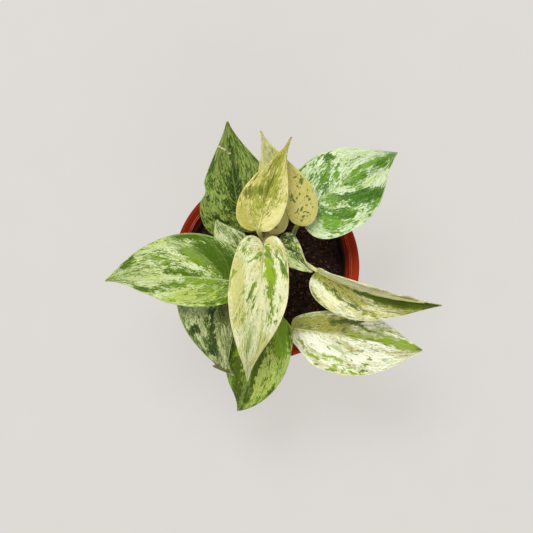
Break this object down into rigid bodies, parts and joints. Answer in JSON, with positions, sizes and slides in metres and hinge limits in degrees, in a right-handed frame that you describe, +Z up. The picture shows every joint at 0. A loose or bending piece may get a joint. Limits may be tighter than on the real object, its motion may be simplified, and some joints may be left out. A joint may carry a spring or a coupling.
{
  "type": "potted marble queen pothos",
  "caption": "Young variegated pothos with heart-shaped green and cream marbled leaves on arching stalks, growing in a round tapered nursery pot filled with soil.",
  "frame": {"origin": "centre of the pot's foot, on the surface it stands on", "axes": "+Z up, +Y the plant's back, which is the top of the picture, +X its right"},
  "size_m": [0.2119, 0.1856, 0.1899],
  "materials": {
    "pot": "orange-brown moulded plastic, satin",
    "soil": "dark moist peat with reddish-brown fibres",
    "vine": "olive green stem, waxy",
    "leaf_green": "waxy leaf, green marbled with cream",
    "leaf_cream": "waxy leaf, cream marbled with green"
  },
  "bodies": {
    "root": {"pot": "pot", "soil": "soil", "vine_back": "vine", "vine_right": "vine", "vine_left": "vine", "vine_front": "vine", "leaf_crown": "leaf_cream", "leaf_back_middle": "leaf_cream", "leaf_back_left": "leaf_green", "leaf_back_right": "leaf_green", "leaf_left": "leaf_green", "leaf_centre": "leaf_cream", "leaf_front_left": "leaf_green", "leaf_front": "leaf_green", "leaf_right_upper": "leaf_cream", "leaf_right_lower": "leaf_cream", "leaf_young_left": "leaf_green", "leaf_young_right": "leaf_green"}
  },
  "joints": []
}
